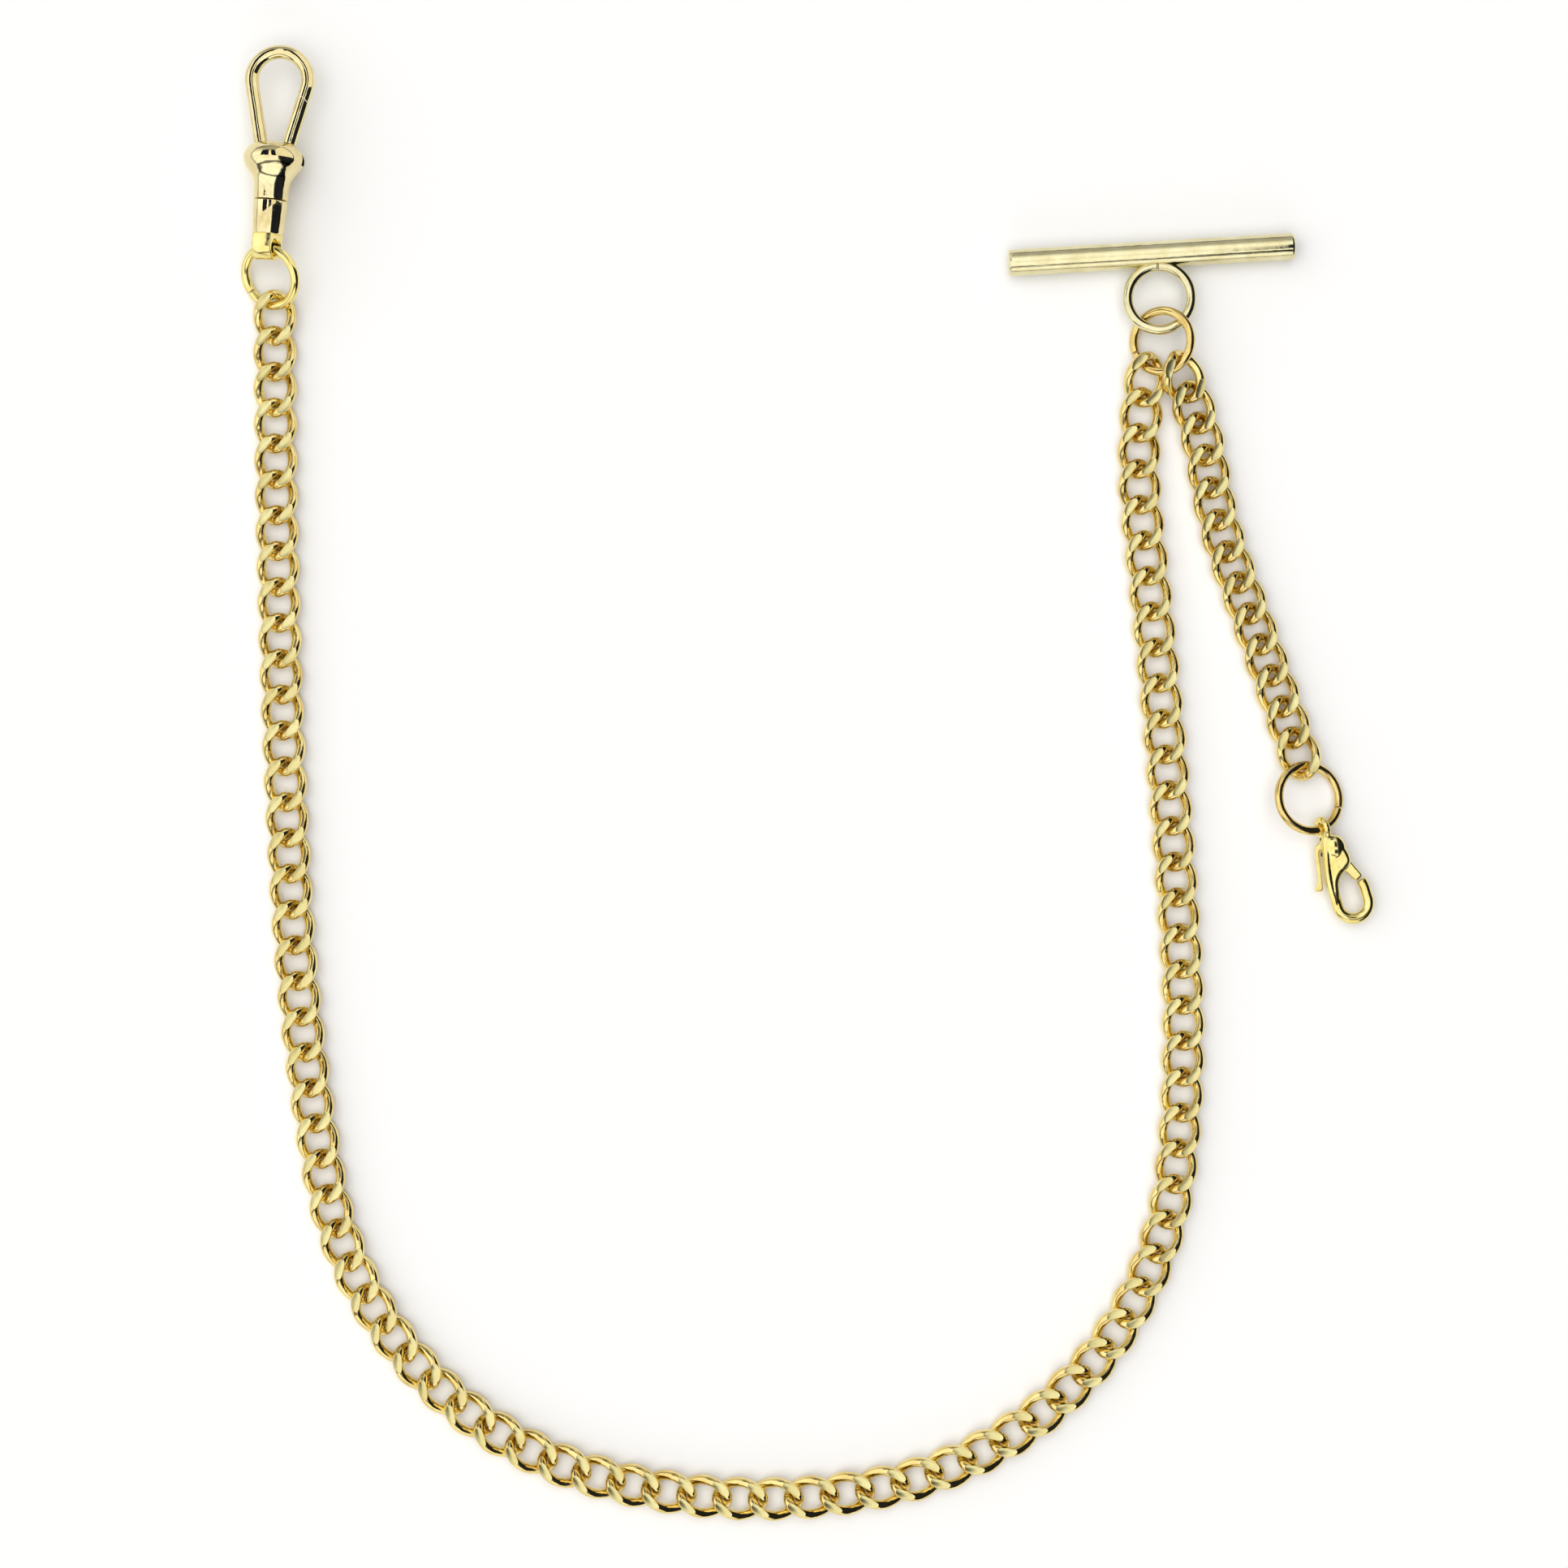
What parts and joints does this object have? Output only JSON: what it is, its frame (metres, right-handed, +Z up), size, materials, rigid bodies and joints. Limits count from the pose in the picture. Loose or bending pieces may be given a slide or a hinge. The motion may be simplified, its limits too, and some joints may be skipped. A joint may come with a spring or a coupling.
{
  "type": "pocket watch chain",
  "caption": "Curb-link pocket watch chain: a buttonhole T-bar and rings, a long chain to a swivel clip for the watch and a short chain to a lobster clasp for a fob.",
  "frame": {"origin": "Centre of the chain as it lies, on the table under it", "axes": "+Z up from the table, +Y from the chain's bend towards the T-bar and the swivel clip, +X along the T-bar towards its end on the short chain's side"},
  "size_m": [0.127, 0.165, 0.007],
  "materials": {
    "curb_chain": "satin ground flats on polished gold-plated wire",
    "pale_gold": "polished pale gold plate",
    "yellow_gold": "polished yellow gold plate",
    "spring_steel": "drawn wire"
  },
  "bodies": {
    "tbar": {"tbar_bar": "pale_gold", "tbar_ring": "pale_gold"},
    "branch_ring": {"branch_ring": "yellow_gold"},
    "swivel_ring": {"swivel_ring": "yellow_gold"},
    "swivel": {"swivel_eye": "yellow_gold", "swivel_collar": "pale_gold"},
    "clip": {"clip_bulb": "pale_gold", "clip_hook": "pale_gold", "clip_gate_pin": "yellow_gold", "clip_gate_spring": "spring_steel"},
    "clip_gate": {"clip_gate": "pale_gold"},
    "clasp_ring": {"clasp_ring": "yellow_gold"},
    "clasp": {"clasp_body": "yellow_gold", "clasp_pin": "yellow_gold", "clasp_spring": "spring_steel"},
    "clasp_lever": {"clasp_lever": "yellow_gold"},
    "short_01": {"short_link_01": "curb_chain"},
    "short_02": {"short_link_02": "curb_chain"},
    "short_03": {"short_link_03": "curb_chain"},
    "short_04": {"short_link_04": "curb_chain"},
    "short_05": {"short_link_05": "curb_chain"},
    "short_06": {"short_link_06": "curb_chain"},
    "short_07": {"short_link_07": "curb_chain"},
    "short_08": {"short_link_08": "curb_chain"},
    "short_09": {"short_link_09": "curb_chain"},
    "short_10": {"short_link_10": "curb_chain"},
    "short_11": {"short_link_11": "curb_chain"},
    "short_12": {"short_link_12": "curb_chain"},
    "short_13": {"short_link_13": "curb_chain"},
    "long_01": {"long_chain_01": "curb_chain"},
    "long_02": {"long_chain_02": "curb_chain"},
    "long_03": {"long_chain_03": "curb_chain"},
    "long_04": {"long_chain_04": "curb_chain"},
    "long_05": {"long_chain_05": "curb_chain"},
    "long_06": {"long_chain_06": "curb_chain"},
    "long_07": {"long_chain_07": "curb_chain"},
    "long_08": {"long_chain_08": "curb_chain"},
    "long_09": {"long_chain_09": "curb_chain"},
    "long_10": {"long_chain_10": "curb_chain"},
    "long_11": {"long_chain_11": "curb_chain"},
    "long_12": {"long_chain_12": "curb_chain"},
    "long_13": {"long_chain_13": "curb_chain"},
    "long_14": {"long_chain_14": "curb_chain"},
    "long_15": {"long_chain_15": "curb_chain"},
    "long_16": {"long_chain_16": "curb_chain"},
    "long_17": {"long_chain_17": "curb_chain"},
    "long_18": {"long_chain_18": "curb_chain"},
    "long_19": {"long_chain_19": "curb_chain"},
    "long_20": {"long_chain_20": "curb_chain"},
    "long_21": {"long_chain_21": "curb_chain"},
    "long_22": {"long_chain_22": "curb_chain"},
    "long_23": {"long_chain_23": "curb_chain"},
    "long_24": {"long_chain_24": "curb_chain"},
    "long_25": {"long_chain_25": "curb_chain"},
    "long_26": {"long_chain_26": "curb_chain"},
    "long_27": {"long_chain_27": "curb_chain"}
  },
  "joints": [
    {"name": "branch_ring_swing", "type": "hinge", "parent": "tbar", "child": "branch_ring", "pos_m": [0.0395, 0.0545, 0.00203], "axis": [0, 0, 1], "range_deg": [-45, 45]},
    {"name": "swivel_ring_slide", "type": "hinge", "parent": "long_27", "child": "swivel_ring", "pos_m": [-0.05992, 0.05683, 0.00238], "axis": [-0.4524, -0.3353, 0.8264], "range_deg": [-30, 30]},
    {"name": "swivel_tilt", "type": "hinge", "parent": "swivel_ring", "child": "swivel", "pos_m": [-0.06016, 0.05996, 0.00345], "axis": [0.9107, -0.0717, 0.4067], "range_deg": [-30, 45]},
    {"name": "clip_spin", "type": "hinge", "parent": "swivel", "child": "clip", "pos_m": [-0.05953, 0.06793, 0.00345], "axis": [0.0785, 0.9969, 0], "continuous": true},
    {"name": "clip_gate_open", "type": "hinge", "parent": "clip", "child": "clip_gate", "pos_m": [-0.05801, 0.07032, 0.00345], "axis": [0, 0, 1], "range_deg": [0, 20], "stiffness_Nm_per_rad": 0.002, "springref_deg": -5.73},
    {"name": "clasp_ring_slide", "type": "hinge", "parent": "short_13", "child": "clasp_ring", "pos_m": [0.05624, -0.00142, 0.00182], "axis": [0.3206, 0.1582, 0.9339], "range_deg": [-30, 30]},
    {"name": "clasp_tilt", "type": "hinge", "parent": "clasp_ring", "child": "clasp", "pos_m": [0.05774, -0.00484, 0.00183], "axis": [0.8854, 0.2639, -0.3827], "range_deg": [-30, 30]},
    {"name": "clasp_lever_open", "type": "hinge", "parent": "clasp", "child": "clasp_lever", "pos_m": [0.0585, -0.00685, 0.0013], "axis": [0, 0, -1], "range_deg": [0, 22], "stiffness_Nm_per_rad": 0.002, "springref_deg": -5.73},
    {"name": "short_01_slide", "type": "hinge", "parent": "branch_ring", "child": "short_01", "pos_m": [0.0398, 0.04966, 0.00204], "axis": [-0.4539, -0.0244, 0.8907], "range_deg": [-0.5, 20]},
    {"name": "short_02_turn", "type": "hinge", "parent": "short_01", "child": "short_02", "pos_m": [0.04277, 0.04402, 0.00161], "axis": [0, 0, 1], "range_deg": [-3, 10]},
    {"name": "short_03_fold", "type": "hinge", "parent": "short_02", "child": "short_03", "pos_m": [0.04396, 0.04058, 0.001], "axis": [0.9593, 0.2823, 0], "range_deg": [-12, 12]},
    {"name": "short_04_turn", "type": "hinge", "parent": "short_03", "child": "short_04", "pos_m": [0.04483, 0.037, 0.001], "axis": [0, 0, 1], "range_deg": [-3, 10]},
    {"name": "short_05_fold", "type": "hinge", "parent": "short_04", "child": "short_05", "pos_m": [0.04537, 0.03334, 0.001], "axis": [-0.984, -0.1779, 0], "range_deg": [-15, 15]},
    {"name": "short_06_turn", "type": "hinge", "parent": "short_05", "child": "short_06", "pos_m": [0.04615, 0.02974, 0.001], "axis": [0, 0, 1], "range_deg": [-15, 15]},
    {"name": "short_07_fold", "type": "hinge", "parent": "short_06", "child": "short_07", "pos_m": [0.04717, 0.02619, 0.001], "axis": [-0.9508, -0.3098, 0], "range_deg": [-15, 15]},
    {"name": "short_08_turn", "type": "hinge", "parent": "short_07", "child": "short_08", "pos_m": [0.04843, 0.02273, 0.001], "axis": [0, 0, -1], "range_deg": [-15, 15]},
    {"name": "short_09_fold", "type": "hinge", "parent": "short_08", "child": "short_09", "pos_m": [0.04968, 0.01925, 0.001], "axis": [0.9415, 0.3371, 0], "range_deg": [-15, 15]},
    {"name": "short_10_turn", "type": "hinge", "parent": "short_09", "child": "short_10", "pos_m": [0.05092, 0.01578, 0.001], "axis": [0, 0, 1], "range_deg": [-15, 15]},
    {"name": "short_11_fold", "type": "hinge", "parent": "short_10", "child": "short_11", "pos_m": [0.05214, 0.0123, 0.001], "axis": [0.9438, 0.3305, 0], "range_deg": [-15, 15]},
    {"name": "short_12_turn", "type": "hinge", "parent": "short_11", "child": "short_12", "pos_m": [0.05336, 0.00881, 0.001], "axis": [0, 0, -1], "range_deg": [-15, 15]},
    {"name": "short_13_fold", "type": "hinge", "parent": "short_12", "child": "short_13", "pos_m": [0.05456, 0.00532, 0.001], "axis": [-0.9461, -0.3239, 0], "range_deg": [-15, 15]},
    {"name": "long_01_slide", "type": "hinge", "parent": "branch_ring", "child": "long_01", "pos_m": [0.0398, 0.04966, 0.00204], "axis": [-0.4539, -0.0244, 0.8907], "range_deg": [-30, 0.5]},
    {"name": "long_02_turn", "type": "hinge", "parent": "long_01", "child": "long_02", "pos_m": [0.03725, 0.03546, 0.001], "axis": [0, 0, 1], "range_deg": [-15, 3]},
    {"name": "long_03_fold", "type": "hinge", "parent": "long_02", "child": "long_03", "pos_m": [0.03835, 0.02346, 0.001], "axis": [0.9941, 0.1084, 0], "range_deg": [-15, 15]},
    {"name": "long_04_turn", "type": "hinge", "parent": "long_03", "child": "long_04", "pos_m": [0.03958, 0.01146, 0.001], "axis": [0, 0, 1], "range_deg": [-15, 3]},
    {"name": "long_05_fold", "type": "hinge", "parent": "long_04", "child": "long_05", "pos_m": [0.04065, -0.00055, 0.001], "axis": [-0.9966, -0.0824, 0], "range_deg": [-15, 15]},
    {"name": "long_06_turn", "type": "hinge", "parent": "long_05", "child": "long_06", "pos_m": [0.04156, -0.01258, 0.001], "axis": [0, 0, 1], "range_deg": [-15, 3]},
    {"name": "long_07_fold", "type": "hinge", "parent": "long_06", "child": "long_07", "pos_m": [0.04223, -0.02462, 0.001], "axis": [-0.9998, -0.0209, 0], "range_deg": [-15, 15]},
    {"name": "long_08_turn", "type": "hinge", "parent": "long_07", "child": "long_08", "pos_m": [0.04197, -0.03667, 0.001], "axis": [0, 0, 1], "range_deg": [-15, 3]},
    {"name": "long_09_fold", "type": "hinge", "parent": "long_08", "child": "long_09", "pos_m": [0.04044, -0.04862, 0.001], "axis": [0.9686, -0.2487, 0], "range_deg": [-15, 15]},
    {"name": "long_10_turn", "type": "hinge", "parent": "long_09", "child": "long_10", "pos_m": [0.03578, -0.0597, 0.001], "axis": [0, 0, 1], "range_deg": [-15, 15]},
    {"name": "long_11_fold", "type": "hinge", "parent": "long_10", "child": "long_11", "pos_m": [0.02812, -0.06896, 0.001], "axis": [0.6691, -0.7431, 0], "range_deg": [-15, 15]},
    {"name": "long_12_turn", "type": "hinge", "parent": "long_11", "child": "long_12", "pos_m": [0.0181, -0.07562, 0.001], "axis": [0, 0, -1], "range_deg": [-15, 15]},
    {"name": "long_13_fold", "type": "hinge", "parent": "long_12", "child": "long_13", "pos_m": [0.00659, -0.07909, 0.001], "axis": [-0.1659, 0.9861, 0], "range_deg": [-15, 15]},
    {"name": "long_14_turn", "type": "hinge", "parent": "long_13", "child": "long_14", "pos_m": [-0.00541, -0.08006, 0.001], "axis": [0, 0, 1], "range_deg": [-15, 15]},
    {"name": "long_15_fold", "type": "hinge", "parent": "long_14", "child": "long_15", "pos_m": [-0.01741, -0.07894, 0.001], "axis": [0.1779, 0.984, 0], "range_deg": [-15, 15]},
    {"name": "long_16_turn", "type": "hinge", "parent": "long_15", "child": "long_16", "pos_m": [-0.02899, -0.07565, 0.001], "axis": [0, 0, -1], "range_deg": [-15, 15]},
    {"name": "long_17_fold", "type": "hinge", "parent": "long_16", "child": "long_17", "pos_m": [-0.03925, -0.06938, 0.001], "axis": [-0.6361, -0.7716, 0], "range_deg": [-15, 15]},
    {"name": "long_18_turn", "type": "hinge", "parent": "long_17", "child": "long_18", "pos_m": [-0.04736, -0.0605, 0.001], "axis": [0, 0, 1], "range_deg": [-15, 15]},
    {"name": "long_19_fold", "type": "hinge", "parent": "long_18", "child": "long_19", "pos_m": [-0.05266, -0.04971, 0.001], "axis": [-0.9505, -0.3107, 0], "range_deg": [-15, 15]},
    {"name": "long_20_turn", "type": "hinge", "parent": "long_19", "child": "long_20", "pos_m": [-0.05507, -0.03791, 0.001], "axis": [0, 0, -1], "range_deg": [-15, 15]},
    {"name": "long_21_fold", "type": "hinge", "parent": "long_20", "child": "long_21", "pos_m": [-0.05663, -0.02595, 0.001], "axis": [0.9942, 0.1076, 0], "range_deg": [-15, 15]},
    {"name": "long_22_turn", "type": "hinge", "parent": "long_21", "child": "long_22", "pos_m": [-0.05766, -0.01394, 0.001], "axis": [0, 0, 1], "range_deg": [-15, 15]},
    {"name": "long_23_fold", "type": "hinge", "parent": "long_22", "child": "long_23", "pos_m": [-0.05829, -0.00189, 0.001], "axis": [0.9989, 0.0471, 0], "range_deg": [-15, 15]},
    {"name": "long_24_turn", "type": "hinge", "parent": "long_23", "child": "long_24", "pos_m": [-0.0588, 0.01016, 0.001], "axis": [0, 0, -1], "range_deg": [-15, 15]},
    {"name": "long_25_fold", "type": "hinge", "parent": "long_24", "child": "long_25", "pos_m": [-0.05918, 0.02221, 0.001], "axis": [-0.9997, -0.0262, 0], "range_deg": [-15, 15]},
    {"name": "long_26_turn", "type": "hinge", "parent": "long_25", "child": "long_26", "pos_m": [-0.05943, 0.03427, 0.001], "axis": [0, 0, 1], "range_deg": [-15, 15]},
    {"name": "long_27_fold", "type": "hinge", "parent": "long_26", "child": "long_27", "pos_m": [-0.05956, 0.04632, 0.001], "axis": [-1, -0.0052, 0], "range_deg": [-15, 15]}
  ]
}
